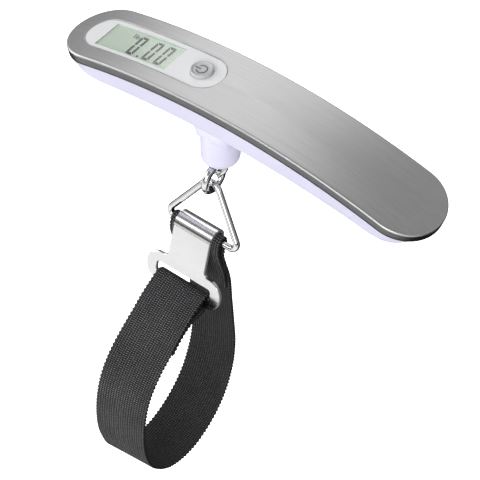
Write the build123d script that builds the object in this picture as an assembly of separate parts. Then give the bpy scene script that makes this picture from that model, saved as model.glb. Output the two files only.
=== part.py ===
from build123d import *
from math import asin, cos, degrees, pi, radians, sin, tan
import os

# Hand-held luggage scale: an arched grip with a display, a load hook under it, and a webbing
# strap that goes round the suitcase handle. Millimetres. +X runs along the grip away from the
# display, +Y to the back, +Z up. The origin is the crown of the top plate.

os.makedirs("parts", exist_ok=True)

# ---- driving dimensions -------------------------------------------------------------------
ARC_R = 262.0            # radius of the arched top face
END_S = 63.4             # arc length from the crown to the centre of each round end
HALF_W = 14.6            # half of the grip's width over the plate
PLATE_T = 0.5            # stainless sheet
BAND = 3.6               # how far the plate's rim comes down
SHELL_BOTTOM = 17.4      # depth of the shell's underside below the crown
SHELL_BOTTOM_R = 486.0   # radius of the underside, flatter than the top
SHELL_DRAFT = 17.0       # how far the shell's sides lean in, degrees
WALL = 1.7               # shell wall

DISPLAY_S = -48.1        # arc length to the middle of the display
LENS = (31.4, 12.6)
BEZEL_S = -41.7          # middle of the oblong bezel
BEZEL_HALF = (29.4, 7.9)
BUTTON_S = -20.8
BUTTON_R = 4.0
CAP_TOP = 1.2            # how far the button's cap stands out
DISH_R = 18.0            # radius of the dish in the cap
DIGIT_W = 3.1
DIGIT_H = 9.9
STROKE = 1.05            # level strokes of a digit
UPRIGHT = 0.85           # upright strokes of a digit

HOOK_X = -13.2           # axis of the boss, the load cell's eye and the hook
BOSS_R = 7.0
BOSS_Z = -38.0
EYE_WIRE = 1.0           # radius of the eye's wire
EYE_R = 3.1
EYE_TOP_Z = -37.1        # wire centre at the top of the eye
EYE_TILT = 24.0          # the eye is bent forward on its shank, degrees
RING_WIRE = 1.4
RING_R = 4.8
RING_TILT = 40.0         # how far the ring is swung forward on the eye, degrees
PLAY = 0.1               # between linked wires
CHAIN_TILT = 16.0        # lean of the triangle and of the hook plate, degrees
TRI_WIRE = 1.25
TRI_X = -13.4
TRI_HEIGHT = 21.2        # wire centre of the apex to wire centre of the base bar
TRI_HALF = 16.8          # half of the base, between the unrounded corners
APEX_R = 4.2
CORNER_R = 2.3
APEX_CUT = 0.76 * APEX_R # what rounding the apex takes off its height

SHEET = 1.2              # hook plate
ROLL_IN = 3.0            # inner radius of the plate's rolled top
NECK_HALF = 8.1
SLOT = (12.1, -22.7, -18.2)   # half width, low, high
FOOT = (16.6, -26.6, -14.3)   # half width, low, high, of the wide lower part

WEB_W = 22.0
WEB_T = 1.3
WEB_X = -15.1            # middle of the webbing and of the hook plate
BAR_WRAP = TRI_WIRE + 0.2 + WEB_T / 2   # radius of the webbing's middle round the bar
FOLD_R = 2.9             # radius of the webbing's middle round the hook plate's lower bar
FOLD_TURN = 125.0

DOOR_X = (24.0, 50.0)    # battery door, along the grip
DOOR_TOP = -14.6         # the door is the underside below this height
COIN_X = 37.0
GAP = 0.15


# ---- helpers ------------------------------------------------------------------------------
def at_arc(s, depth=0.0):
    """A frame on the arch: x along the grip, z out of the top face."""
    turn = s / ARC_R
    r = ARC_R - depth
    return Location((r * sin(turn), 0, r * cos(turn) - ARC_R), (0, degrees(turn), 0))


def arch_z(x, depth=0.0):
    """Height of the arched face that lies depth below the top, above plan position x."""
    return ((ARC_R - depth) ** 2 - x ** 2) ** 0.5 - ARC_R


def arched(half_profile, end_s=END_S, middle_s=0.0):
    """Sweep a half profile of (y, depth) points along the arch, and turn it round both ends."""
    half = make_face(Polyline(*[(0, y, -depth) for y, depth in half_profile], close=True))
    full = half + mirror(half, Plane.XZ)
    centre_line = Axis((0, 0, -ARC_R), (0, 1, 0))
    straight = revolve(at_arc(middle_s - end_s) * full, centre_line, 2 * degrees(end_s / ARC_R))
    right = at_arc(middle_s + end_s) * revolve(half, Axis.Z, -180)
    left = at_arc(middle_s - end_s) * revolve(half, Axis.Z, 180)
    return straight + right + left


def slab(half_w, top, bottom, end_s=END_S, middle_s=0.0):
    """An arched layer between two depths, with straight sides."""
    return arched([(0, top), (half_w, top), (half_w, bottom), (0, bottom)], end_s, middle_s)


def block(x, y, z, place=Location()):
    """A box from three (low, high) pairs."""
    size = (x[1] - x[0], y[1] - y[0], z[1] - z[0])
    middle = ((x[0] + x[1]) / 2, (y[0] + y[1]) / 2, (z[0] + z[1]) / 2)
    return place * Pos(*middle) * Box(*size)


def post(x, y, z, r):
    """An upright cylinder from z[0] to z[1]."""
    return Pos(x, y, (z[0] + z[1]) / 2) * Cylinder(r, z[1] - z[0])


def save(node, shape):
    shape.label = node
    export_step(shape, f"parts/{node}.step")


# ---- grip: plate, frame, shell --------------------------------------------------------------
def side_profile(bottom, bottom_r, x_turn, end_r, end_angle):
    """Side view of the shell: a flat arc underneath that turns up at both ends."""
    slope = asin(x_turn / bottom_r)
    z_turn = -bottom - bottom_r * (1 - cos(slope))
    centre = (x_turn + end_r * sin(slope), z_turn + end_r * cos(slope))

    def on_end(angle, side):
        return (side * (centre[0] + end_r * sin(angle)), centre[1] - end_r * cos(angle))

    mid = (radians(end_angle) - slope) / 2
    tip = on_end(radians(end_angle), 1)
    outline = [
        ThreePointArc((-x_turn, z_turn), (0, -bottom), (x_turn, z_turn)),
        ThreePointArc((x_turn, z_turn), on_end(mid, 1), tip),
        Polyline(tip, (tip[0] + 4, 8), (-tip[0] - 4, 8), (-tip[0], tip[1])),
        ThreePointArc((-tip[0], tip[1]), on_end(mid, -1), (-x_turn, z_turn)),
    ]
    return extrude(Plane.XZ * make_face(outline), amount=HALF_W + 5, both=True)


def shell_body(inset, top, rounding):
    """The shell's form, inset by a wall, from depth top down."""
    lean = tan(radians(SHELL_DRAFT))
    half = HALF_W - 0.3 - inset
    deep = SHELL_BOTTOM + 6
    start = BAND + 0.1
    upright = [(0, top), (half, top)] if top < start else [(0, start)]
    sides = arched(upright + [(half, start), (half - (deep - start) * lean, deep), (0, deep)])
    form = sides & side_profile(SHELL_BOTTOM - inset, SHELL_BOTTOM_R - inset, 55.0 - inset, 21.0, 62.0)
    low = [e for e in form.edges() if e.center().Z < arch_z(e.center().X) - start - 0.6]
    return fillet(low, rounding)


def boss_form(radius, flare, bottom):
    """The boss: a round end that flares along the grip into the underside."""
    top = -12.0
    column = post(HOOK_X, 0, (bottom, top), radius)
    column = fillet(column.edges().sort_by(Axis.Z)[0], min(3.0, radius / 2))
    z0 = -SHELL_BOTTOM - 0.2
    outline = [
        Line((HOOK_X - radius - flare, top), (HOOK_X - radius - flare, z0)),
        RadiusArc((HOOK_X - radius - flare, z0), (HOOK_X - radius, z0 - flare), flare),
        Line((HOOK_X - radius, z0 - flare), (HOOK_X + radius, z0 - flare)),
        RadiusArc((HOOK_X + radius, z0 - flare), (HOOK_X + radius + flare, z0), flare),
        Line((HOOK_X + radius + flare, z0), (HOOK_X + radius + flare, top)),
        Line((HOOK_X + radius + flare, top), (HOOK_X - radius - flare, top)),
    ]
    web = extrude(Plane.XZ * make_face(outline), amount=radius, both=True)
    corners = web.edges().filter_by(lambda e: e.center().Z < z0 - 0.5 and abs(e.center().Y) > radius - 0.1)
    web = fillet(corners, radius * 0.6)
    return column + web


bezel_window = slab(BEZEL_HALF[1] + 0.1, -2.0, 4.0, BEZEL_HALF[0] - BEZEL_HALF[1], BEZEL_S)

plate = arched([
    (0, 0), (HALF_W - 0.7, 0), (HALF_W - 0.2, 0.2), (HALF_W, 0.7), (HALF_W, BAND),
    (HALF_W - PLATE_T, BAND), (HALF_W - PLATE_T, PLATE_T + 0.3), (HALF_W - PLATE_T - 0.3, PLATE_T),
    (0, PLATE_T),
])
save("top_plate", plate - bezel_window)

display = at_arc(DISPLAY_S)
button_frame = at_arc(BUTTON_S)
FRAME_IN = HALF_W - PLATE_T - 0.35
lcd_room = block((-17.4, 17.4), (-7.6, 7.6), (-6.0, -1.05), display)
frame_tray = slab(FRAME_IN, PLATE_T + 0.05, 2.5)
frame_tray -= slab(BEZEL_HALF[1] + 0.05, -1.0, 2.0, BEZEL_HALF[0] - BEZEL_HALF[1], BEZEL_S)
frame_tray -= lcd_room
frame_tray -= button_frame * Cylinder(4.6, 12)
save("inner_frame", frame_tray)

boss_bore = post(HOOK_X, 0, (BOSS_Z - 1, -30.0), 5.2) + post(HOOK_X, 0, (-30.5, -8.0), 3.4)
door_hole = block(DOOR_X, (-20, 20), (-24.0, DOOR_TOP))
outer = shell_body(0.0, BAND + 0.1, 5.0)
rim = slab(HALF_W - PLATE_T - 0.35, 2.55, BAND + 0.2) - slab(HALF_W - PLATE_T - 1.9, 2.0, BAND + 2)
cavity = shell_body(WALL, 2.0, 3.5)
shell = (outer + boss_form(BOSS_R, 9.0, BOSS_Z)) - cavity + rim
cell_posts = [post(x, 0, (-17.6, -15.05), 3.2) for x in (9.0, 17.0)]
for cell_post in cell_posts:
    shell += cell_post
for x in (9.0, 17.0):
    shell -= post(x, 0, (-20.0, -12.0), 1.25)
shell = shell - boss_bore - door_hole
save("lower_shell", shell)

# ---- display and controls -------------------------------------------------------------------
lens_box = block((-LENS[0] / 2, LENS[0] / 2), (-LENS[1] / 2, LENS[1] / 2), (-1.05, 3.0), display)
bezel_slab = slab(BEZEL_HALF[1], 0.25, 1.95, BEZEL_HALF[0] - BEZEL_HALF[1], BEZEL_S)
lens_hole = block((-LENS[0] / 2 - 0.05, LENS[0] / 2 + 0.05), (-LENS[1] / 2 - 0.05, LENS[1] / 2 + 0.05),
                  (-4.0, 3.0), display)
save("display_bezel", bezel_slab - lens_hole - lcd_room - button_frame * Cylinder(BUTTON_R + GAP, 12))
save("lcd_lens", lens_box & slab(BEZEL_HALF[1], 0.3, 3.0, BEZEL_HALF[0] - BEZEL_HALF[1], BEZEL_S))
save("lcd_glass", block((-17.2, 17.2), (-7.4, 7.4), (-2.5, -1.2), display))
save("lcd_reflector", block((-17.0, 17.0), (-7.2, 7.2), (-3.0, -2.55), display))

INK = (-1.17, -1.08)


def ink(points):
    """A flat printed stroke."""
    return extrude(make_face(Polyline(*points, close=True)), amount=INK[1] - INK[0])


def digit_zero(x):
    """The six lit strokes of a seven-segment nought whose left edge is at x."""
    strokes = []
    top = DIGIT_H / 2
    for flip in (1, -1):
        across = [(0.2, top), (DIGIT_W - 0.2, top), (DIGIT_W - STROKE, top - STROKE), (STROKE, top - STROKE)]
        strokes.append(ink([(x + px, flip * py) for px, py in across]))
        for edge, inward in ((x, 1), (x + DIGIT_W, -1)):
            side = [(0, top - 0.3), (UPRIGHT, top - STROKE - 0.1), (UPRIGHT, 0.5), (UPRIGHT / 2, 0.15), (0, 0.5)]
            strokes.append(ink([(edge + inward * px, flip * py) for px, py in side]))
    return strokes


digits = []
for digit_x in (-3.1, 3.9, 9.2):
    digits += digit_zero(digit_x)
point_y = -DIGIT_H / 2 + 0.4
digits.append(ink([(1.8, point_y - 0.4), (2.6, point_y - 0.4), (2.6, point_y + 0.4), (1.8, point_y + 0.4)]))
# the unit's legend, l and b
for stem_x in (-6.1, -5.2):
    digits.append(ink([(stem_x, 2.9), (stem_x + 0.25, 2.9), (stem_x + 0.25, 5.1), (stem_x, 5.1)]))
bowl = Circle(0.72) - Circle(0.48)
digits.append(Pos(-4.2, 3.62, 0) * extrude(bowl, amount=INK[1] - INK[0]))
save("lcd_digits", Compound([display * Pos(0, 0, INK[0]) * piece for piece in digits]))

save("circuit_board", block((-17.5, 37.0), (-9.0, 9.0), (-6.8, -5.8), display))
zebra = [block((-15.5, 15.5), (y - 1.0, y + 1.0), (-5.8, -3.05), display) for y in (-5.9, 5.9)]
save("zebra_connectors", Compound(zebra))
save("controller_chip", display * Pos(4, 0, -7.3) * Box(9.0, 9.0, 1.0))

save("power_switch", block((25.0, 29.5), (-2.3, 2.3), (-5.8, -5.0), display))
cap_body = Pos(0, 0, (CAP_TOP - 0.8) / 2) * Cylinder(BUTTON_R, CAP_TOP + 0.8)
cap_body = fillet(cap_body.edges().sort_by(Axis.Z)[-1], 0.3)
dish = Pos(0, 0, CAP_TOP + DISH_R - 0.35) * Sphere(DISH_R)
stem_top = -0.8
stem_low = -2.75
stem = Pos(0, 0, (stem_top + stem_low) / 2) * Cylinder(1.6, stem_top - stem_low)
save("power_button", button_frame * (cap_body - dish + stem))

# ---- power ------------------------------------------------------------------------------------
COIN_Z = -11.9
coin_tilt = Location((COIN_X, 0, COIN_Z), (0, degrees(asin(COIN_X / SHELL_BOTTOM_R)), 0))
coin = fillet(Cylinder(10.0, 3.2).edges(), 0.3)
save("coin_cell", coin_tilt * coin)
spring = block((-7.0, 7.0), (-2.0, 2.0), (1.65, 1.9)) + block((-7.3, -7.0), (-2.0, 2.0), (1.65, 3.4))
save("battery_spring", coin_tilt * spring)
holder = Cylinder(11.6, 3.0) - Cylinder(10.15, 4.0) - block((9.0, 13.0), (-2.2, 2.2), (-3.0, 3.0))
save("battery_holder", (coin_tilt * holder) & shell_body(WALL + 0.1, 2.6, 3.4))
save("battery_contact", coin_tilt * block((10.05, 10.35), (-2.0, 2.0), (-1.4, 2.2)))

door = shell_body(0.0, BAND + 0.1, 5.0) - shell_body(WALL, 2.0, 3.5)
door &= block((DOOR_X[0] + GAP, DOOR_X[1] - GAP), (-20, 20), (-24.0, DOOR_TOP - GAP))
grip_slot = block((45.0, 46.2), (-3.0, 3.0), (-24.0, -SHELL_BOTTOM - 1.6))
save("battery_door", door - grip_slot)

# ---- load cell ----------------------------------------------------------------------------------
CELL_Z = (-15.0, -9.5)
cell = block((-19.0, 21.5), (-4.5, 4.5), CELL_Z)
for x in (-6.0, 1.0):
    cell -= Pos(x, 0, -12.25) * Rot(90, 0, 0) * Cylinder(2.0, 12)
cell -= block((-6.0, 1.0), (-6.0, 6.0), (-12.75, -11.75))
cell -= post(HOOK_X, 0, (-16, -8), 2.05)
for x in (9.0, 17.0):
    cell -= post(x, 0, (-16, -8), 1.6)
save("load_cell", cell)
gauges = [block((-6.2, 1.2), (-2.0, 2.0), z) for z in ((-9.48, -9.3), (-15.2, -15.02))]
save("strain_gauges", Compound(gauges))
screws = [post(x, 0, (-18.0, -9.45), 1.2) + post(x, 0, (-9.45, -7.9), 2.4) for x in (9.0, 17.0)]
save("cell_screws", Compound(screws))


# ---- swivel eye, ring and triangle ------------------------------------------------------------
bend = radians(EYE_TILT)
eye_place = Pos(HOOK_X, 0, EYE_TOP_Z) * Rot(-EYE_TILT, 0, 0) * Pos(0, 0, -EYE_R)
eye = eye_place * Rot(90, 0, 0) * Torus(EYE_R, EYE_WIRE)
low_y = -2 * EYE_R * sin(bend)
low_z = EYE_TOP_Z - 2 * EYE_R * cos(bend)
shank = post(HOOK_X, 0, (EYE_TOP_Z, -7.0), 2.0)
collar = post(HOOK_X, 0, (-17.0, -15.1), 3.0)
save("swivel_eye", eye + shank + collar)
nut = Pos(HOOK_X, 0, -8.2) * extrude(RegularPolygon(3.4, 6), amount=2.4, both=False)
save("eye_nut", Pos(0, 0, -1.2) * nut - post(HOOK_X, 0, (-12, -5), 2.0))

tilt = radians(RING_TILT)
ring_reach = RING_R - RING_WIRE - EYE_WIRE - PLAY
ring_y = low_y - ring_reach * sin(tilt)
ring_z = low_z - ring_reach * cos(tilt)
save("hook_ring", Pos(HOOK_X, ring_y, ring_z) * Rot(0, 90, 0) * Torus(RING_R, RING_WIRE))

lean = radians(CHAIN_TILT)
inside = RING_R - RING_WIRE - TRI_WIRE - PLAY
apex = (TRI_X, ring_y - inside * sin(lean), ring_z - inside * cos(lean))
bar_y = apex[1] - TRI_HEIGHT * sin(lean)
bar_z = apex[2] - TRI_HEIGHT * cos(lean)
# plane of the triangle: x along the bar, y up towards the apex
tri_plane = Plane(origin=(TRI_X, bar_y, bar_z), x_dir=(1, 0, 0), z_dir=(0, -cos(lean), sin(lean)))
corners = Polyline((-TRI_HALF, 0), (TRI_HALF, 0), (0, TRI_HEIGHT + APEX_CUT), close=True)
tri_face = make_face(corners)
tri_face = fillet(tri_face.vertices().sort_by(Axis.Y)[-1], APEX_R)
tri_face = fillet(tri_face.vertices().filter_by(lambda v: abs(v.Y) < 0.1), CORNER_R)
tri_wire = tri_plane.location * tri_face.face().outer_wire()
profile = Plane(origin=tri_wire @ 0, z_dir=tri_wire % 0) * Circle(TRI_WIRE)
save("triangle_ring", sweep(profile, path=tri_wire))

# ---- hook plate -----------------------------------------------------------------------------------
# plane of the plate: x along the bar, y up, z towards the front, origin on the bar's axis
hook_frame = Plane(origin=(WEB_X, bar_y, bar_z), x_dir=(1, 0, 0), z_dir=(0, -cos(lean), sin(lean)))
front = ROLL_IN + SHEET / 2

neck = Rectangle(2 * NECK_HALF, 18.0, align=(Align.CENTER, Align.MAX))
foot = Pos(0, (FOOT[1] + FOOT[2]) / 2) * RectangleRounded(2 * FOOT[0], FOOT[2] - FOOT[1], 5.8)
flat = neck + foot
joints = [v for v in flat.vertices() if abs(v.Y - FOOT[2]) < 0.6 and abs(abs(v.X) - NECK_HALF) < 0.6]
flat = fillet(joints, 2.3)
slot = Pos(0, (SLOT[1] + SLOT[2]) / 2) * RectangleRounded(2 * SLOT[0], SLOT[2] - SLOT[1], 1.4)
flat = extrude(flat - slot, amount=SHEET / 2, both=True)
flat = chamfer(flat.faces().sort_by(Axis.Z)[-1].edges(), 0.2)
roll = Circle(ROLL_IN + SHEET) - Circle(ROLL_IN)
roll = roll - Pos(0, -10) * Rectangle(30, 20)
lip = Pos(-front, -1.7) * Rectangle(SHEET, 3.4)
# drawn with x to the front, so that the lip hangs behind the bar
hook_side = extrude(roll + lip, amount=NECK_HALF, both=True)
hook_side = Rot(0, -90, 0) * hook_side
plate_solid = Pos(0, 0, front) * flat + hook_side
save("hook_plate", hook_frame.location * plate_solid)


# ---- webbing -----------------------------------------------------------------------------------------
def ribbon(points, half_t=WEB_T / 2, width=WEB_W):
    """Webbing of even thickness along a smooth line of (y, z) points."""
    line = Spline(*points) if len(points) > 2 else Line(*points)
    steps = max(12, 3 * len(points))
    outer_side = []
    inner_side = []
    for i in range(steps + 1):
        p = line @ (i / steps)
        t = line % (i / steps)
        outer_side.append((p.X - half_t * t.Y, p.Y + half_t * t.X))
        inner_side.append((p.X + half_t * t.Y, p.Y - half_t * t.X))
    edges = [Spline(*outer_side), Line(outer_side[-1], inner_side[-1]), Spline(*inner_side[::-1]),
             Line(inner_side[0], outer_side[0])]
    # the local z axis of the YZ plane is +X
    return Pos(WEB_X, 0, 0) * extrude(Plane.YZ * make_face(edges), amount=width / 2, both=True)


def wrap(centre, radius, start, end, width=WEB_W):
    """Webbing round a bar at centre (y, z), from angle start to end, degrees."""
    sector = Circle(radius + WEB_T / 2) - Circle(radius - WEB_T / 2)
    reach = 3 * radius
    count = max(2, int(abs(end - start) / 30))
    fan = [(0, 0)]
    for i in range(count + 1):
        a = radians(start + (end - start) * i / count)
        fan.append((reach * cos(a), reach * sin(a)))
    sector = sector & make_face(Polyline(*fan, close=True))
    return Pos(WEB_X, 0, 0) * extrude(Plane.YZ * Pos(*centre) * sector, amount=width / 2, both=True)


def on_plate(up, out):
    """A (y, z) point from a place on the hook plate: up along it, out to its front."""
    return (bar_y + up * sin(lean) - out * cos(lean), bar_z + up * cos(lean) + out * sin(lean))


# the strap's loop: down behind, round the bottom, and up to the seam in front
LOOP = [
    on_plate(-6.3, -BAR_WRAP), (-9.2, -78.2), (-7.2, -86.2), (-5.0, -98.2), (-3.5, -113.2),
    (-3.0, -128.2), (-5.5, -142.2), (-11.4, -154.8), (-20.9, -163.0), (-32.3, -166.3),
    (-43.6, -163.9), (-51.9, -155.8), (-56.2, -144.6), (-57.4, -133.8), (-56.0, -122.8),
    (-52.0, -113.0), (-44.9, -104.5),
]
save("webbing_loop", ribbon(LOOP))

# sewn round the triangle's bar, with a tail in front of the back strand
bar_stub = ribbon([on_plate(0, -BAR_WRAP), on_plate(-3.0, -BAR_WRAP), on_plate(-5.9, -BAR_WRAP)])
BAR_TAIL = [on_plate(0, BAR_WRAP), on_plate(-3.5, 1.8), on_plate(-8.0, -0.4), (-10.7, -80.2),
            (-9.4, -86.2), (-8.8, -91.2)]
bar_wrap = wrap((bar_y, bar_z), BAR_WRAP, -CHAIN_TILT, 180.0 - CHAIN_TILT)
save("webbing_bar_fold", bar_wrap + bar_stub + ribbon(BAR_TAIL))

# sewn round the lower bar of the hook plate, with a tail behind the front strand
foot_bar = on_plate((FOOT[1] + SLOT[1]) / 2, front)


def round_foot(angle, r=FOLD_R):
    """A (y, z) point round the hook plate's lower bar."""
    return (foot_bar[0] + r * cos(radians(angle)), foot_bar[1] + r * sin(radians(angle)))


FRONT = [round_foot(FOLD_TURN), (-29.0, -90.4), (-35.4, -95.0), (-40.8, -100.0), (-44.6, -104.1)]
UNDER = [round_foot(FOLD_TURN - 180), (-22.4, -93.1), (-28.1, -93.2), (-34.5, -96.1), (-39.8, -101.0)]
fold = wrap(foot_bar, FOLD_R, FOLD_TURN - 180, FOLD_TURN)
save("webbing_end_fold", fold + ribbon(FRONT) + ribbon(UNDER))
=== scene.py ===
import math

import bmesh
import bpy
import numpy as np
from mathutils import Matrix, Vector


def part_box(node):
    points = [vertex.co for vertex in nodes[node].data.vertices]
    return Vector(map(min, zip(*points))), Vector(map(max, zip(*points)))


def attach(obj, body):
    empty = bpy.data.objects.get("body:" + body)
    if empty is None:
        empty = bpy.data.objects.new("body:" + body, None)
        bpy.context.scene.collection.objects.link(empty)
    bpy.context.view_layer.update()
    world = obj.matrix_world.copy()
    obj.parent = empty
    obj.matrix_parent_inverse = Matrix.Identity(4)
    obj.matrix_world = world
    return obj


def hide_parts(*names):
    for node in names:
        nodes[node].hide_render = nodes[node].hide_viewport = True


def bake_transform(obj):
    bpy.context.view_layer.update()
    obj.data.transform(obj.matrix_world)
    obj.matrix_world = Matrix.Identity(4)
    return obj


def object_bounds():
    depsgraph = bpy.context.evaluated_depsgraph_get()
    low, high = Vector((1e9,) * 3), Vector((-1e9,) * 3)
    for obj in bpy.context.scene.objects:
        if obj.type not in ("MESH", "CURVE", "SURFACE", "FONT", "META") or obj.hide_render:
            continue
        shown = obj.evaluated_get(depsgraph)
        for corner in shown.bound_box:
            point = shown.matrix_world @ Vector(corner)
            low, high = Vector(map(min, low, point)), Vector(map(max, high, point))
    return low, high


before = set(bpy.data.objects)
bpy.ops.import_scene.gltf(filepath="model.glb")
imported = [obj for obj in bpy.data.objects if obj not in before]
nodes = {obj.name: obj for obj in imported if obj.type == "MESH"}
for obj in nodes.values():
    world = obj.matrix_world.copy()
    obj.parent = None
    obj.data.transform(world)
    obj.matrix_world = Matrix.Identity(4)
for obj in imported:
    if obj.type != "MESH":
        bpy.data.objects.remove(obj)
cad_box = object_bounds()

MM = 0.001


# ---- camera ---------------------------------------------------------------------------------
CAMERA_PLACE = (0.3212, -0.4124, 0.5101)
CAMERA_AZIMUTH = 38.33
CAMERA_ELEVATION = 48.03
CAMERA_ROLL = -0.2
LENS = 165.8

camera_data = bpy.data.cameras.new("camera")
camera_data.lens = LENS
camera_data.clip_start = 0.01
camera = bpy.data.objects.new("camera", camera_data)
bpy.context.scene.collection.objects.link(camera)
bpy.context.scene.camera = camera
camera.location = CAMERA_PLACE
camera.rotation_mode = "QUATERNION"
camera.rotation_quaternion = (
    Matrix.Rotation(math.radians(CAMERA_AZIMUTH), 3, "Z")
    @ Matrix.Rotation(math.radians(90 - CAMERA_ELEVATION), 3, "X")
    @ Matrix.Rotation(math.radians(CAMERA_ROLL), 3, "Z")).to_quaternion()


# ---- node helpers ---------------------------------------------------------------------------
class Nodes:
    """A material being built: n.add makes a node and links its inputs."""

    def __init__(self, name):
        self.material = bpy.data.materials.new(name)
        self.material.use_nodes = True
        self.tree = self.material.node_tree
        self.tree.nodes.clear()
        self.output = self.tree.nodes.new("ShaderNodeOutputMaterial")

    def add(self, kind, settings=None, **inputs):
        node = self.tree.nodes.new("ShaderNode" + kind)
        for key, value in (settings or {}).items():
            setattr(node, key, value)
        for key, value in inputs.items():
            self.put(node, key.replace("_", " "), value)
        return node

    def put(self, node, key, value):
        socket = node.inputs[int(key)] if key.isdigit() else node.inputs[key]
        if isinstance(value, bpy.types.NodeSocket):
            self.tree.links.new(value, socket)
        else:
            socket.default_value = value

    def math(self, operation, a, b=0.0, clamp=False):
        node = self.tree.nodes.new("ShaderNodeMath")
        node.operation = operation
        node.use_clamp = clamp
        self.put(node, "0", a)
        self.put(node, "1", b)
        return node.outputs[0]

    def mix(self, factor, a, b):
        """A mix of two colours."""
        node = self.tree.nodes.new("ShaderNodeMix")
        node.data_type = "RGBA"
        self.put(node, "0", factor)
        self.put(node, "6", a)
        self.put(node, "7", b)
        return node.outputs[2]

    def span(self, value, low, high, to_low=0.0, to_high=1.0):
        """The value, brought from one range to another and held inside it."""
        node = self.add("MapRange", None, Value=value)
        node.inputs["From Min"].default_value = low
        node.inputs["From Max"].default_value = high
        node.inputs["To Min"].default_value = to_low
        node.inputs["To Max"].default_value = to_high
        return node.outputs[0]

    def place(self, scale=(1, 1, 1)):
        """Object coordinates in metres, scaled."""
        at = self.add("TexCoord").outputs["Object"]
        node = self.add("Mapping", None, Vector=at)
        node.inputs["Scale"].default_value = scale
        return node.outputs[0]

    def noise(self, scale, detail=4.0, stretch=(1, 1, 1), roughness=0.5):
        node = self.add("TexNoise", None, Vector=self.place(stretch))
        node.inputs["Scale"].default_value = scale
        node.inputs["Detail"].default_value = detail
        node.inputs["Roughness"].default_value = roughness
        return node.outputs["Fac"]

    def bump(self, height, depth, under=None):
        node = self.add("Bump", None, Height=height)
        node.inputs["Strength"].default_value = 1.0
        node.inputs["Distance"].default_value = depth
        if under is not None:
            self.put(node, "Normal", under)
        return node.outputs[0]

    def surface(self, **inputs):
        shader = self.add("BsdfPrincipled", None, **inputs)
        self.tree.links.new(shader.outputs[0], self.output.inputs["Surface"])
        return shader


def rgb(r, g, b):
    return (r, g, b, 1.0)


def moulded(name, colour, roughness=0.42, grain=0.00002, speck=0.03):
    """Moulded plastic: a very fine grain, and a little cloudiness in colour and gloss."""
    n = Nodes(name)
    cloud = n.noise(35.0, 3.0)
    fine = n.noise(2600.0, 2.0)
    dark = tuple(c * (1 - speck) for c in colour)
    colour_out = n.mix(n.span(cloud, 0.35, 0.65), rgb(*dark), rgb(*colour))
    rough = n.span(cloud, 0.3, 0.7, roughness - 0.04, roughness + 0.05)
    n.surface(Base_Color=colour_out, Roughness=rough, Normal=n.bump(fine, grain))
    return n.material


def metal(name, colour, roughness, grain=0.000004, stretch=(1, 1, 1), scale=900.0, wear=0.06):
    """Bare or plated metal with fine marks, and smudges in its gloss."""
    n = Nodes(name)
    marks = n.noise(scale, 5.0, stretch)
    smudge = n.noise(60.0, 3.0)
    dull = tuple(c * (1 - wear) for c in colour)
    colour_out = n.mix(n.span(marks, 0.35, 0.65), rgb(*dull), rgb(*colour))
    smear = n.span(smudge, 0.3, 0.7, -0.02, 0.03)
    rough = n.math("ADD", smear, n.span(marks, 0.3, 0.7, roughness * 0.9, roughness * 1.1))
    n.surface(Base_Color=colour_out, Metallic=1.0, Roughness=rough, Normal=n.bump(marks, grain))
    return n.material


def brushed_plate():
    """Stainless steel brushed along the grip: long fine lines in tone, gloss and height."""
    n = Nodes("brushed_plate")
    lines = n.noise(1.0, 4.0, (60, 9000, 900), 0.7)
    broad = n.noise(1.0, 3.0, (25, 1600, 300), 0.6)
    blend = n.math("ADD", n.math("MULTIPLY", lines, 0.65), n.math("MULTIPLY", broad, 0.35))
    tone = n.span(blend, 0.3, 0.7)
    colour = n.mix(tone, rgb(0.50, 0.50, 0.505), rgb(0.66, 0.66, 0.665))
    rough = n.span(lines, 0.25, 0.75, 0.34, 0.46)
    n.surface(Base_Color=colour, Metallic=1.0, Roughness=rough, Anisotropic=0.35,
              Normal=n.bump(blend, 0.0000025))
    return n.material


def plate_rim_painted_shade():
    """The plate's turned-down rim: the same steel, rolled rather than brushed, and darker through painted shade.
    """
    n = Nodes("plate_rim_painted_shade")
    lines = n.noise(1.0, 4.0, (60, 60, 7000), 0.6)
    # painted shade: the rim's steel gets a far darker base colour than the crown
    colour = n.mix(n.span(lines, 0.3, 0.7), rgb(0.11, 0.11, 0.112), rgb(0.165, 0.165, 0.168))
    n.surface(Base_Color=colour, Metallic=1.0, Roughness=n.span(lines, 0.3, 0.7, 0.24, 0.3),
              Normal=n.bump(lines, 0.000002))
    return n.material


def pressed_plate():
    """Nickel-plated pressed sheet: smooth faces, and duller sheared edges at its sides, darkened with painted
    shade.
    """
    n = Nodes("satin_plate")
    facing = n.add("SeparateXYZ", None, Vector=n.add("TexCoord").outputs["Normal"]).outputs[0]
    edge = n.span(n.math("ABSOLUTE", facing), 0.45, 0.8)
    grain = n.noise(1800.0, 4.0, (0.15, 1, 1))
    cloud = n.noise(70.0, 3.0)
    face = n.mix(n.span(cloud, 0.3, 0.7), rgb(0.67, 0.67, 0.67), rgb(0.72, 0.72, 0.72))
    # sides facing along X get a dark grey base and less metal: painted shade, with the duller gloss of a sheared
    # edge
    colour = n.mix(edge, face, rgb(0.24, 0.24, 0.24))
    smooth = n.span(grain, 0.3, 0.7, 0.15, 0.2)
    rough = n.math("ADD", smooth, n.math("MULTIPLY", edge, 0.2))
    bare = n.math("SUBTRACT", 1.0, n.math("MULTIPLY", edge, 0.8))
    n.surface(Base_Color=colour, Metallic=bare, Roughness=rough, Normal=n.bump(grain, 0.000002))
    return n.material


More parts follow.
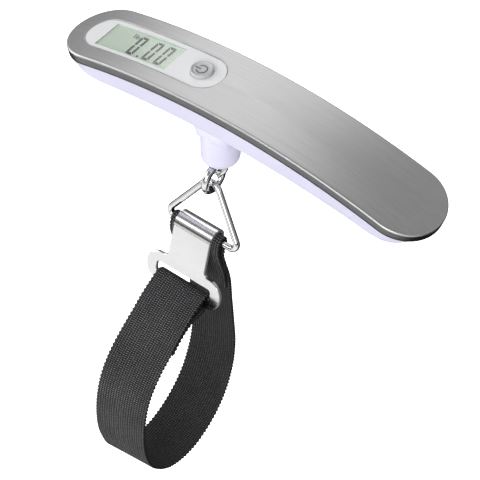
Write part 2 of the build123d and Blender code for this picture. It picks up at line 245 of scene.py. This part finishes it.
def clear_window():
    """Thin clear plastic: seen through, with reflections at its face."""
    n = Nodes("clear_window")
    see = n.add("BsdfTransparent")
    see.inputs["Color"].default_value = rgb(0.97, 0.985, 0.975)
    ripple = n.bump(n.noise(220.0, 2.0), 0.000004)
    gloss = n.add("BsdfGlossy", None, Normal=ripple)
    gloss.inputs["Roughness"].default_value = 0.12
    edge = n.add("Fresnel")
    edge.inputs["IOR"].default_value = 1.38
    both = n.tree.nodes.new("ShaderNodeMixShader")
    n.tree.links.new(n.math("MULTIPLY", edge.outputs[0], 0.25), both.inputs[0])
    n.tree.links.new(see.outputs[0], both.inputs[1])
    n.tree.links.new(gloss.outputs[0], both.inputs[2])
    n.tree.links.new(both.outputs[0], n.output.inputs["Surface"])
    return n.material


RIBS = 21
PICK = 0.8               # weft pitch, mm


def webbing_cloth(name, weft):
    """Black ribbed webbing. Each rib is a chain of slanted grey weft dashes between black warp."""
    n = Nodes(name)
    at = n.add("UVMap", {"uv_map": "weave"}).outputs[0]
    split = n.add("SeparateXYZ", None, Vector=at)
    across, along = split.outputs[0], split.outputs[1]
    rib = n.math("FLOOR", across)
    in_rib = n.math("SUBTRACT", n.math("FRACT", across), 0.5)
    odd = n.math("SUBTRACT", n.math("MULTIPLY", n.math("MODULO", rib, 2.0), 2.0), 1.0)
    slant = n.math("MULTIPLY", n.math("MULTIPLY", in_rib, odd), 0.45)
    row = n.math("SUBTRACT", n.math("FRACT", n.math("ADD", along, slant)), 0.5)
    dash_v = n.math("SUBTRACT", 1.15, n.math("MULTIPLY", n.math("ABSOLUTE", row), 3.3), True)
    dash_u = n.math("SUBTRACT", 1.25, n.math("MULTIPLY", n.math("ABSOLUTE", in_rib), 2.5), True)
    dash = n.math("MULTIPLY", dash_v, dash_u)
    fleck = n.noise(1400.0, 3.0)
    patch = n.noise(90.0, 3.0)
    light = n.math("MULTIPLY", dash, n.span(fleck, 0.3, 0.7, 0.55, 1.15))
    light = n.math("MULTIPLY", light, n.span(patch, 0.3, 0.7, 0.8, 1.15))
    base = n.mix(n.span(fleck, 0.3, 0.7), rgb(0.0045, 0.0045, 0.005), rgb(0.011, 0.011, 0.012))
    colour = n.mix(light, base, rgb(weft, weft * 1.01, weft * 1.03))
    from_middle = n.math("MULTIPLY", n.math("ABSOLUTE", in_rib), 2.0)
    round_rib = n.math("SUBTRACT", 1.0, n.math("POWER", from_middle, 2.0))
    height = n.math("ADD", n.math("MULTIPLY", dash, 0.6), n.math("MULTIPLY", round_rib, 0.4))
    height = n.math("ADD", height, n.math("MULTIPLY", fleck, 0.15))
    n.surface(Base_Color=colour, Roughness=0.78, Specular_IOR_Level=0.25, Normal=n.bump(height, 0.00022))
    return n.material


def thread_cloth():
    n = Nodes("black_thread")
    twist = n.add("TexWave", {"bands_direction": "DIAGONAL"}, Vector=n.place())
    twist.inputs["Scale"].default_value = 900.0
    colour = n.mix(twist.outputs["Fac"], rgb(0.006, 0.006, 0.007), rgb(0.035, 0.035, 0.038))
    n.surface(Base_Color=colour, Roughness=0.6, Normal=n.bump(twist.outputs["Fac"], 0.00003))
    return n.material


def circuit_laminate():
    n = Nodes("circuit_laminate")
    tracks = n.add("TexBrick", None, Vector=n.place((240, 240, 240)))
    colour = n.mix(tracks.outputs["Fac"], rgb(0.01, 0.14, 0.05), rgb(0.02, 0.24, 0.09))
    n.surface(Base_Color=colour, Roughness=0.3, Normal=n.bump(tracks.outputs["Fac"], 0.00003))
    return n.material


steel = brushed_plate()
rim_steel_painted_shade = plate_rim_painted_shade()
lavender = moulded("lavender_shell", (0.745, 0.735, 0.905), 0.38, 0.00001, 0.015)
bezel_white = moulded("white_bezel", (0.94, 0.945, 0.965), 0.3, 0.000006, 0.015)
frame_grey = moulded("grey_plastic", (0.20, 0.20, 0.22), 0.5)
lcd_back = moulded("lcd_back", (0.82, 0.925, 0.80), 0.45, 0.000003, 0.02)
lcd_ink = moulded("lcd_ink", (0.012, 0.016, 0.014), 0.4, 0.000003)
chip_black = moulded("chip_black", (0.03, 0.03, 0.03), 0.5)
rubber = moulded("zebra_rubber", (0.12, 0.12, 0.12), 0.7)
gauge_film = moulded("gauge_film", (0.55, 0.28, 0.06), 0.35)
button_silver = moulded("button_silver", (0.62, 0.63, 0.64), 0.34, 0.000008, 0.03)
icon_grey = moulded("icon_grey", (0.20, 0.205, 0.215), 0.4, 0.000005)
chrome = metal("chrome_wire", (0.72, 0.72, 0.73), 0.07, 0.000001, (1, 1, 1), 700.0, 0.03)
satin = pressed_plate()
zinc = metal("screw_steel", (0.6, 0.6, 0.6), 0.35)
machined = metal("cell_aluminium", (0.72, 0.72, 0.73), 0.35, 0.000004, (0.05, 1, 1), 1500.0)
window = clear_window()
cloth = webbing_cloth("black_webbing", 0.23)
# the inner face gets a darker weft: painted shade for the shadow it lies in
cloth_inside_painted_shade = webbing_cloth("black_webbing_inside_painted_shade", 0.13)
thread = thread_cloth()
laminate = circuit_laminate()

LOOKS = {
    "inner_frame": frame_grey, "lower_shell": lavender, "battery_door": lavender,
    "display_bezel": bezel_white, "lcd_lens": window, "lcd_glass": lcd_back, "lcd_reflector": lcd_back,
    "lcd_digits": lcd_ink, "circuit_board": laminate, "zebra_connectors": rubber,
    "controller_chip": chip_black, "power_switch": chip_black, "coin_cell": zinc,
    "battery_spring": zinc, "battery_holder": frame_grey, "battery_contact": zinc,
    "load_cell": machined, "strain_gauges": gauge_film, "cell_screws": zinc,
    "swivel_eye": chrome, "eye_nut": zinc, "hook_ring": chrome, "triangle_ring": chrome,
    "hook_plate": satin,
}
for name, look in LOOKS.items():
    mesh = nodes[name].data
    mesh.materials.clear()
    mesh.materials.append(look)
    mesh.shade_smooth()
    mesh.set_sharp_from_angle(angle=math.radians(32))


def soften(name, width, segments=2, limit=35):
    """Rounds a CAD node's edges."""
    bevel = nodes[name].modifiers.new("soft edges", "BEVEL")
    bevel.width = width
    bevel.segments = segments
    bevel.limit_method = "ANGLE"
    bevel.angle_limit = math.radians(limit)
    bevel.harden_normals = True


soften("hook_plate", 0.00022, 3)


# ---- mesh helpers ---------------------------------------------------------------------------
def add_piece(name, verts, faces, look, body):
    """A piece that rides a body, from points in metres."""
    mesh = bpy.data.meshes.new(name)
    mesh.from_pydata([tuple(v) for v in verts], [], faces)
    bm = bmesh.new()
    bm.from_mesh(mesh)
    bmesh.ops.remove_doubles(bm, verts=bm.verts, dist=1e-7)
    bmesh.ops.dissolve_degenerate(bm, edges=bm.edges, dist=1e-8)
    bmesh.ops.recalc_face_normals(bm, faces=bm.faces)
    bm.to_mesh(mesh)
    bm.free()
    looks = look if isinstance(look, (list, tuple)) else [look]
    for one in looks:
        mesh.materials.append(one)
    piece = bpy.data.objects.new(name, mesh)
    bpy.context.scene.collection.objects.link(piece)
    mesh.shade_smooth()
    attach(piece, body)
    return piece


def grid_faces(rows, columns, start=0, closed=False):
    """Quads of a grid whose points are stored row after row."""
    faces = []
    wrap = columns if closed else columns - 1
    for i in range(rows - 1):
        for j in range(wrap):
            k = (j + 1) % columns
            a = start + i * columns
            b = a + columns
            faces.append((a + j, a + k, b + k, b + j))
    return faces


# ---- top plate --------------------------------------------------------------------------------
ARC_R = 262.0
END_S = 63.4
HALF_W = 14.6
BAND = 3.6
PLATE_T = 0.5
EDGE_R = 0.75
WINDOW_MIDDLE = -41.7
WINDOW_HALF = (29.5, 8.0)


def on_arch(s, y, depth):
    """A place on the grip, in metres, from arc length, width and depth in mm."""
    turn = s / ARC_R
    r = ARC_R - depth
    return (r * math.sin(turn) * MM, y * MM, (r * math.cos(turn) - ARC_R) * MM)


def stadium(s, middle, half_length, radius):
    """Half width of an oblong at arc length s, and the outward direction of its edge there."""
    core = half_length - radius
    beyond = abs(s - middle) - core
    if beyond <= 0:
        return radius, (0.0, 1.0)
    beyond = min(beyond, radius)
    half = math.sqrt(max(0.0, radius ** 2 - beyond ** 2))
    side = 1 if s > middle else -1
    return half, (side * beyond / radius, half / radius)


def stations():
    """Arc lengths at which the plate is cut, closer together round the ends and the window."""
    flat = HALF_W - EDGE_R
    cuts = []
    window_core = WINDOW_HALF[0] - WINDOW_HALF[1]
    for middle, core, radius in ((0.0, END_S, flat), (WINDOW_MIDDLE, window_core, WINDOW_HALF[1])):
        for side in (-1, 1):
            for i in range(33):
                cuts.append(middle + side * (core + radius * math.sin(math.pi / 2 * i / 32)))
            cuts.append(middle + side * (core + radius + 0.03))
    limit = END_S + flat
    cuts += list(np.arange(-60.0, 62.0, 1.5))
    cuts = sorted(c for c in cuts if -limit - 1e-6 <= c <= limit + 1e-6)
    kept = [cuts[0]]
    for c in cuts[1:]:
        if c - kept[-1] > 0.02:
            kept.append(c)
    kept[-1] = limit
    return kept


def plate_half(side):
    """Grid of one long half of the plate, from the window's lip over the top and down the rim."""
    across = 14
    arc_steps = 8
    rows = []
    flat = HALF_W - EDGE_R
    for s in stations():
        outer, out = stadium(s, 0.0, END_S + flat, flat)
        inner, lip = stadium(s, WINDOW_MIDDLE, WINDOW_HALF[0], WINDOW_HALF[1])
        beside = abs(s - WINDOW_MIDDLE) < WINDOW_HALF[0] + 1e-9
        inner = inner if beside else 0.0
        row = []
        for depth in (PLATE_T, 0.12):
            row.append((s, inner, depth if beside else 0.0))
        for j in range(across + 1):
            start = inner + (0.1 if beside else 0.0)
            row.append((s, min(start, outer) + (outer - min(start, outer)) * j / across, 0.0))
        for k in range(1, arc_steps + 1):
            a = math.pi / 2 * k / arc_steps
            reach = EDGE_R * math.sin(a)
            row.append((s + out[0] * reach, outer + out[1] * reach, EDGE_R * (1 - math.cos(a))))
        for inset, depth in ((0, 1.5), (0, 2.6), (0, BAND - 0.08), (0.08, BAND), (PLATE_T, BAND), (PLATE_T, 2.6)):
            reach = EDGE_R - inset
            row.append((s + out[0] * reach, outer + out[1] * reach, depth))
        rows.append([on_arch(p, side * q, d) for p, q, d in row])
    return rows


plate_verts = []
plate_faces = []
for side in (1, -1):
    half = plate_half(side)
    columns = len(half[0])
    plate_faces += grid_faces(len(half), columns, len(plate_verts))
    plate_verts += [p for row in half for p in row]
plate = add_piece("brushed_top_plate", plate_verts, plate_faces, [steel, rim_steel_painted_shade], "grip")
# the rim's faces take the darker steel, whose base colour is painted shade
for face in plate.data.polygons:
    depth = ARC_R * MM - math.hypot(face.center.x, face.center.z + ARC_R * MM)
    face.material_index = 1 if depth > EDGE_R * 0.8 * MM and abs(face.normal.z) < 0.9 else 0
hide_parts("top_plate")


# ---- power button -------------------------------------------------------------------------------
BUTTON_S = -20.8
button_place = Matrix.Translation(on_arch(BUTTON_S, 0, 0)) @ Matrix.Rotation(BUTTON_S / ARC_R, 4, "Y")

# radius and height of the cap, from the middle of its dish out over the raised rim
CAP = [(0.0, 0.62), (1.0, 0.63), (2.0, 0.67), (3.0, 0.75), (3.2, 0.79), (3.3, 0.88), (3.36, 1.02),
       (3.46, 1.12), (3.62, 1.15), (3.8, 1.1), (3.92, 0.98), (3.98, 0.8), (4.0, 0.6), (4.0, 0.0), (4.0, -0.7)]
TURNS = 96


def revolve(profile, place, steps=TURNS):
    verts = []
    for radius, height in profile:
        for i in range(steps):
            a = 2 * math.pi * i / steps
            verts.append(place @ Vector((radius * math.cos(a) * MM, radius * math.sin(a) * MM, height * MM)))
    return verts, grid_faces(len(profile), steps, 0, True)


cap_verts, cap_faces = revolve(CAP, button_place)
cap = add_piece("button_cap", cap_verts, cap_faces, button_silver, "button")
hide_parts("power_button")


def dish_height(r):
    radii = [p[0] for p in CAP[:5]]
    heights = [p[1] for p in CAP[:5]]
    return float(np.interp(r, radii, heights))


def tube(points, radius, steps=10):
    """A round tube along a line of points, closed at both ends."""
    points = [Vector(p) for p in points]
    verts = []
    side = None
    for i, p in enumerate(points):
        ahead = (points[min(i + 1, len(points) - 1)] - points[max(i - 1, 0)]).normalized()
        if side is None:
            side = ahead.orthogonal().normalized()
        side = (side - ahead * side.dot(ahead)).normalized()
        other = ahead.cross(side)
        for k in range(steps):
            a = 2 * math.pi * k / steps
            verts.append(p + (side * math.cos(a) + other * math.sin(a)) * radius)
    faces = grid_faces(len(points), steps, 0, True)
    verts += [points[0], points[-1]]
    first, last = len(verts) - 2, len(verts) - 1
    base = (len(points) - 1) * steps
    for k in range(steps):
        faces.append((first, (k + 1) % steps, k))
        faces.append((last, base + k, base + (k + 1) % steps))
    return verts, faces


def join(parts):
    """One list of points and faces from several."""
    verts = []
    faces = []
    for some_verts, some_faces in parts:
        faces += [tuple(i + len(verts) for i in f) for f in some_faces]
        verts += list(some_verts)
    return verts, faces


# the power sign, a broken ring with a bar in its gap
ICON_R = 1.85
ICON_WIRE = 0.24 * MM
ring_line = []
for i in range(41):
    a = math.radians(180 + 38 + (360 - 76) * i / 40)
    spot = Vector((ICON_R * math.cos(a), ICON_R * math.sin(a), dish_height(ICON_R) + 0.02))
    ring_line.append(button_place @ (spot * MM))
bar_line = []
for i in range(7):
    x = -0.5 - 2.2 * i / 6
    bar_line.append(button_place @ (Vector((x, 0, dish_height(-x) + 0.02)) * MM))
icon_verts, icon_faces = join([tube(ring_line, ICON_WIRE), tube(bar_line, ICON_WIRE)])
icon = add_piece("button_icon", icon_verts, icon_faces, icon_grey, "button")


# ---- webbing strap --------------------------------------------------------------------------------
WEB_W = 22.0
WEB_T = 1.3
LEAN = math.radians(16.0)
WIRE = 1.25
triangle_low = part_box("triangle_ring")[0]
BAR = (triangle_low[1] / MM + WIRE, triangle_low[2] / MM + WIRE)
BAR_WRAP = WIRE + 0.2 + WEB_T / 2
hook_low, hook_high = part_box("hook_plate")
WEB_X = (hook_low[0] + hook_high[0]) / 2 / MM
FOLD_R = 2.9
FOLD_TURN = 125.0


def on_plate(up, out):
    """(y, z) of a place on the hook plate's side view, mm."""
    return (BAR[0] + up * math.sin(LEAN) - out * math.cos(LEAN),
            BAR[1] + up * math.cos(LEAN) + out * math.sin(LEAN))


FOOT_BAR = on_plate(-24.65, 3.6)


def around(centre, radius, start, end, count):
    angles = [math.radians(start + (end - start) * i / count) for i in range(count + 1)]
    return [(centre[0] + radius * math.cos(a), centre[1] + radius * math.sin(a)) for a in angles]


BACK_ROUTE = (
    [(-8.8, -91.2), (-9.4, -86.2), (-10.7, -80.2), on_plate(-8.0, -0.4), on_plate(-3.5, 1.8)]
    + around(BAR, BAR_WRAP, 164, -16, 6)
    + [on_plate(-3.0, -BAR_WRAP), on_plate(-6.3, -BAR_WRAP), (-9.2, -78.2), (-7.2, -86.2), (-5.0, -98.2),
       (-3.5, -113.2), (-3.0, -128.2), (-5.5, -142.2), (-11.4, -154.8), (-20.9, -163.0), (-32.3, -166.3),
       (-43.6, -163.9), (-51.9, -155.8), (-56.2, -144.6)])
SPLIT = (-57.4, -133.8)
FRONT_ROUTE = (
    [(-56.3, -122.8), (-53.0, -113.2), (-46.8, -104.7), (-42.2, -100.5), (-35.9, -95.3), (-29.0, -90.4)]
    + around(FOOT_BAR, FOLD_R, FOLD_TURN, FOLD_TURN - 180, 6)
    + [(-22.4, -93.1), (-28.1, -93.2), (-34.5, -96.1), (-39.8, -101.0)])


def smooth_line(points, step):
    """Even steps along a centripetal curve through the points."""
    p = [np.array(q, float) for q in points]
    p = [2 * p[0] - p[1]] + p + [2 * p[-1] - p[-2]]
    fine = []
    for a, b, c, d in zip(p, p[1:], p[2:], p[3:]):
        t = [0.0]
        for u, v in ((a, b), (b, c), (c, d)):
            t.append(t[-1] + max(1e-6, np.linalg.norm(v - u)) ** 0.5)
        for x in np.linspace(t[1], t[2], 24, endpoint=False):
            a1 = (t[1] - x) / (t[1] - t[0]) * a + (x - t[0]) / (t[1] - t[0]) * b
            a2 = (t[2] - x) / (t[2] - t[1]) * b + (x - t[1]) / (t[2] - t[1]) * c
            a3 = (t[3] - x) / (t[3] - t[2]) * c + (x - t[2]) / (t[3] - t[2]) * d
            b1 = (t[2] - x) / (t[2] - t[0]) * a1 + (x - t[0]) / (t[2] - t[0]) * a2
            b2 = (t[3] - x) / (t[3] - t[1]) * a2 + (x - t[1]) / (t[3] - t[1]) * a3
            fine.append((t[2] - x) / (t[2] - t[1]) * b1 + (x - t[1]) / (t[2] - t[1]) * b2)
    fine.append(p[-2])
    fine = np.array(fine)
    run = np.concatenate([[0], np.cumsum(np.linalg.norm(np.diff(fine, axis=0), axis=1))])
    even = np.arange(0, run[-1], step)
    line = np.stack([np.interp(even, run, fine[:, 0]), np.interp(even, run, fine[:, 1])], 1)
    for _ in range(6):
        line[1:-1] = (line[:-2] + 2 * line[1:-1] + line[2:]) / 4
    return line


STEP = PICK / 3
strap_line = smooth_line(list(BACK_ROUTE) + [SPLIT] + list(FRONT_ROUTE), STEP)
split_at = int(np.argmin(np.linalg.norm(strap_line - np.array(SPLIT), axis=1)))
PER_RIB = 4
CONE = -0.11             # the loop hangs a little wider at its -X edge, mm per mm
loop_share = np.clip((-86.0 - strap_line[:, 1]) / 16.0, 0.0, 1.0)
tail_end = int(np.argmin(np.linalg.norm(strap_line - np.array(on_plate(0.0, -BAR_WRAP)), axis=1)))
fold_start = int(np.argmin(np.linalg.norm(strap_line - np.array((-37.0, -96.5)), axis=1)))
loop_share[:tail_end] = 0.0
loop_share[fold_start:] = 0.0
front_low = int(np.argmin(np.linalg.norm(strap_line - np.array((-44.0, -162.5)), axis=1)))
loop_share[front_low:] *= np.clip(1.0 - np.arange(len(loop_share) - front_low) * STEP / 30.0, 0.4, 1.0)
loop_share = loop_share * loop_share * (3 - 2 * loop_share)


def strap_piece(name, first, last, body):
    """The webbing between two stations of its line: ribbed faces, and scalloped selvages."""
    line = strap_line[first:last + 1]
    ahead = np.gradient(strap_line, axis=0)[first:last + 1]
    ahead /= np.linalg.norm(ahead, axis=1)[:, None]
    normal = np.stack([-ahead[:, 1], ahead[:, 0]], 1)
    across = RIBS * PER_RIB
    ring = []
    for j in range(across + 1):
        ring.append((j / PER_RIB, 1.0))
    for j in range(across, -1, -1):
        ring.append((j / PER_RIB, -1.0))
    ring = np.array(ring)
    rib = ring[:, 0]
    face = ring[:, 1]
    in_rib = np.abs((rib % 1.0) - 0.5) * 2
    bulge = 0.10 * (1 - in_rib ** 2)
    from_edge = np.minimum(rib, RIBS - rib) * WEB_W / RIBS
    rounding = 1 - np.clip((from_edge + 0.12) / 0.75, 0, 1)
    half_t = (WEB_T / 2 - 0.06) * np.sqrt(np.clip(1 - rounding ** 2, 0, 1))
    pick = (np.arange(first, last + 1) * STEP / PICK)[:, None]
    lean = np.where((np.floor(rib) % 2) == 0, 1.0, -1.0) * ((rib % 1.0) - 0.5) * 0.45
    wave = np.cos(2 * np.pi * (pick + lean[None, :] + 0.5))
    height = half_t[None, :] + bulge[None, :] * (0.65 + 0.35 * wave)
    spread = CONE * (rib / RIBS - 0.5)[None, :] * WEB_W * loop_share[first:last + 1, None]
    scallop = 0.22 * np.cos(np.pi * pick) * (from_edge < 0.3)[None, :]
    wander = 0.12 * np.sin(pick * 0.11) + 0.08 * np.sin(pick * 0.041 + 1.3)
    x = (rib / RIBS - 0.5)[None, :] * WEB_W
    x = x + np.sign(x) * scallop + wander + WEB_X
    y = line[:, 0:1] + normal[:, 0:1] * (height * face[None, :] + spread)
    z = line[:, 1:2] + normal[:, 1:2] * (height * face[None, :] + spread)
    verts = np.stack([x, y, z], 2).reshape(-1, 3) * MM
    columns = ring.shape[0]
    rows = len(line)
    faces = grid_faces(rows, columns, 0, True)
    caps = [tuple(range(columns))[::-1], tuple((rows - 1) * columns + k for k in range(columns))]
    mesh = bpy.data.meshes.new(name)
    mesh.from_pydata(verts.tolist(), [], faces)
    weave = mesh.uv_layers.new(name="weave")
    corner = np.empty(len(mesh.loops), np.int32)
    mesh.loops.foreach_get("vertex_index", corner)
    uv = np.stack([rib[corner % columns], pick[corner // columns, 0]], 1)
    weave.data.foreach_set("uv", uv.ravel())
    bm = bmesh.new()
    bm.from_mesh(mesh)
    bm.verts.ensure_lookup_table()
    for cap_ring, at_strap_end in zip(caps, (first == 0, last == len(strap_line) - 1)):
        if at_strap_end:
            bm.faces.new([bm.verts[k] for k in cap_ring])
    bmesh.ops.recalc_face_normals(bm, faces=bm.faces)
    bm.to_mesh(mesh)
    bm.free()
    mesh.materials.append(cloth)
    mesh.materials.append(cloth_inside_painted_shade)
    # faces of the inner side take the webbing whose darker weft is painted shade
    for face in mesh.polygons[:(rows - 1) * columns]:
        face.material_index = 1 if across < face.index % columns < columns - 1 else 0
    mesh.shade_smooth()
    piece = bpy.data.objects.new(name, mesh)
    bpy.context.scene.collection.objects.link(piece)
    if body is not None:
        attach(piece, body)
    return piece, rows * STEP


strap_back, back_length = strap_piece("strap_back", 0, split_at, "strap")
strap_front, front_length = strap_piece("strap_front", split_at, len(strap_line) - 1, None)
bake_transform(strap_front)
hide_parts("webbing_loop", "webbing_bar_fold")
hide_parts("webbing_end_fold")


# ---- seams ------------------------------------------------------------------------------------------
def stitch_row(centre, up, out, count, width, lift):
    """One row of stitches across the webbing, each a short thread that dips at both ends."""
    parts = []
    for i in range(count):
        x0 = -width / 2 + width * (i + 0.12) / count
        x1 = -width / 2 + width * (i + 0.88) / count
        line = []
        for k in range(7):
            f = k / 6
            rise = lift * math.sin(math.pi * f) - 0.06
            skew = 0.12 * (f - 0.5)
            line.append(Vector((WEB_X + x0 + (x1 - x0) * f, centre[0] + out[0] * rise + up[0] * skew,
                                centre[1] + out[1] * rise + up[1] * skew)) * MM)
        parts.append(tube(line, 0.16 * MM, 8))
    return parts


def seam(name, arcs, body, face):
    """Rows of stitches at several stations of the strap, on one of its faces."""
    parts = []
    for at in arcs:
        k = int(round(at / STEP))
        here = strap_line[k]
        ahead = strap_line[k + 1] - strap_line[k - 1]
        ahead = ahead / np.linalg.norm(ahead)
        out = np.array([-ahead[1], ahead[0]]) * face
        spot = here + out * (WEB_T / 2 + 0.05)
        parts += stitch_row(spot, ahead, out, 17, WEB_W - 2.4, 0.22)
    verts, faces = join(parts)
    piece = add_piece(name, verts, faces, thread, body)
    return piece


def station_of(point):
    return int(np.argmin(np.linalg.norm(strap_line - np.array(point), axis=1))) * STEP


front_seam = [station_of(p) for p in ((-33.8, -93.8), (-36.0, -95.6), (-41.0, -100.2), (-42.8, -102.2))]
back_seam = [station_of(p) for p in ((-8.4, -80.2), (-7.5, -82.7), (-5.8, -88.2))]
seam_front = seam("seam_front", front_seam, "hook", -1)
seam_back = seam("seam_back", back_seam, "strap", 1)


# ---- floor and light ------------------------------------------------------------------------------
bpy.context.scene.view_settings.view_transform = "Standard"
FLOOR_Z = cad_box[0][2] - 0.16
SKY_POWER = 0.61
floor_mesh = bpy.data.meshes.new("floor")
reach = 3.0
corners = [(x * reach, y * reach, FLOOR_Z) for x, y in ((-1, -1), (1, -1), (1, 1), (-1, 1))]
floor_mesh.from_pydata(corners, [], [(0, 1, 2, 3)])
floor = bpy.data.objects.new("floor", floor_mesh)
bpy.context.scene.collection.objects.link(floor)
paper = Nodes("floor_paper")
ray = paper.add("LightPath").outputs
depth_back = paper.add("SeparateXYZ", None, Vector=paper.place()).outputs[1]
# polished metal mirrors a dark board lying behind the scale; everything else sees white paper
board = paper.math("MULTIPLY", ray["Is Glossy Ray"], paper.span(depth_back, -0.2, -0.06))
white = paper.mix(paper.noise(8.0), rgb(0.90, 0.90, 0.905), rgb(0.93, 0.93, 0.935))
glow = paper.math("ADD", 0.36, paper.math("MULTIPLY", ray["Is Camera Ray"], 0.9))
glow = paper.math("MULTIPLY", glow, paper.math("SUBTRACT", 1.0, board))
paper.surface(Base_Color=paper.mix(board, white, rgb(0.02, 0.02, 0.02)), Roughness=0.9,
              Emission_Color=rgb(1.0, 1.0, 1.0), Emission_Strength=glow)
floor_mesh.materials.append(paper.material)

world = bpy.data.worlds.new("studio")
bpy.context.scene.world = world
world.use_nodes = True
sky = world.node_tree
background = sky.nodes["Background"]
background.inputs["Strength"].default_value = SKY_POWER
around_us = sky.nodes.new("ShaderNodeTexCoord")
split_sky = sky.nodes.new("ShaderNodeSeparateXYZ")
ramp = sky.nodes.new("ShaderNodeValToRGB")
sky.links.new(around_us.outputs["Generated"], split_sky.inputs[0])
sky.links.new(split_sky.outputs[2], ramp.inputs[0])
# pale below, a dark strip of studio wall at the horizon for the chrome to mirror, pale above
ramp.color_ramp.elements[0].position = 0.02
ramp.color_ramp.elements[0].color = (0.04, 0.04, 0.042, 1)
ramp.color_ramp.elements[1].position = 0.95
ramp.color_ramp.elements[1].color = (0.35, 0.35, 0.35, 1)
for position, tone in ((0.0, 1.0), (0.22, 0.05), (0.34, 0.75), (0.55, 0.85), (0.74, 0.68)):
    stop = ramp.color_ramp.elements.new(position)
    stop.color = (tone, tone, tone, 1)
seen = sky.nodes.new("ShaderNodeLightPath")
pale = sky.nodes.new("ShaderNodeMix")
pale.data_type = "RGBA"
pale.inputs[7].default_value = (1.9, 1.9, 1.9, 1.0)
sky.links.new(seen.outputs["Is Camera Ray"], pale.inputs[0])
sky.links.new(ramp.outputs[0], pale.inputs[6])
sky.links.new(pale.outputs[2], background.inputs[0])


def softbox(name, direction, distance, size, power, aim=(-0.01, -0.015, -0.06)):
    light_data = bpy.data.lights.new(name, "AREA")
    light_data.shape = "RECTANGLE"
    light_data.size, light_data.size_y = size
    light_data.energy = power
    light = bpy.data.objects.new(name, light_data)
    bpy.context.scene.collection.objects.link(light)
    away = Vector(direction).normalized()
    light.location = Vector(aim) + away * distance
    light.rotation_euler = away.to_track_quat("Z", "Y").to_euler()
    return light


# the box that the crown of the plate mirrors towards the camera
softbox("key", (-0.44, 0.56, 0.70), 0.9, (0.42, 0.5), 0.78)
# the box that draws the bright line along the rolled top of the hook plate
softbox("strip", (-0.42, -0.60, 0.66), 0.8, (0.5, 0.22), 0.8)
softbox("fill", (0.3, -0.9, 0.45), 1.1, (0.9, 0.7), 6.2)
softbox("side", (-0.95, -0.25, 0.3), 1.0, (0.5, 0.8), 3.4)
